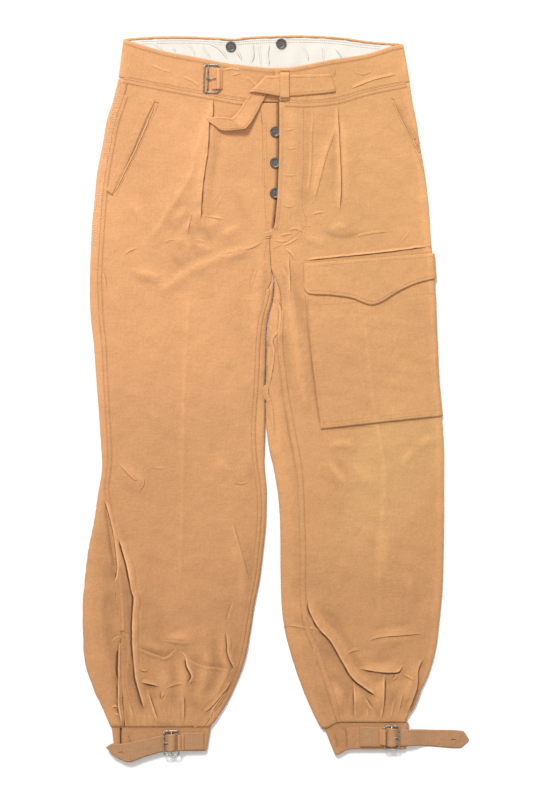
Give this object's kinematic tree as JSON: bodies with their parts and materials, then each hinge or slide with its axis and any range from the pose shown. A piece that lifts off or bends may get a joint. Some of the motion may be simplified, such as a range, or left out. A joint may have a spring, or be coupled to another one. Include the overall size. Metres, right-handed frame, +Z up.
{
  "type": "paratrooper trousers",
  "caption": "High-waisted cotton trousers laid flat, with a belted waist, button fly, flapped thigh pocket and legs gathered into buckled ankle cuffs.",
  "frame": {"origin": "centre of the object's footprint, on the surface that it lies on", "axes": "+Y from the cuffs to the waist, +X to the wearer's left, +Z up from the surface, towards the front of the trousers"},
  "size_m": [0.5614, 1.0536, 0.0147],
  "materials": {
    "sand_cotton": "matt plain-woven cotton, faded and softly creased",
    "lining_canvas": "matt off-white cotton canvas",
    "button_grey": "dark grey, lightly worn, with a soft shine",
    "buckle_wire": "dull grey plated wire, worn brighter on its edges"
  },
  "bodies": {
    "root": {"right_front": "sand_cotton", "left_front": "sand_cotton", "right_back": "sand_cotton", "left_back": "sand_cotton", "fly_button_stand": "sand_cotton", "vent_underlap_right": "sand_cotton", "waistband_front_right": "sand_cotton", "waistband_front_left": "sand_cotton", "waistband_back": "sand_cotton", "belt_strap": "sand_cotton", "belt_loop": "sand_cotton", "belt_buckle_tab": "sand_cotton", "pocket_welt_right": "sand_cotton", "pocket_welt_left": "sand_cotton", "thigh_pocket": "sand_cotton", "thigh_pocket_flap": "sand_cotton", "cuff_right": "sand_cotton", "cuff_left": "sand_cotton", "cuff_strap_right": "sand_cotton", "cuff_strap_left": "sand_cotton", "cuff_tab_right": "sand_cotton", "cuff_tab_left": "sand_cotton", "waistband_lining": "lining_canvas", "fly_button_1": "button_grey", "fly_button_2": "button_grey", "fly_button_3": "button_grey", "brace_button_1": "button_grey", "brace_button_2": "button_grey", "belt_buckle": "buckle_wire", "cuff_buckle_right": "buckle_wire", "cuff_buckle_left": "buckle_wire"}
  },
  "joints": []
}
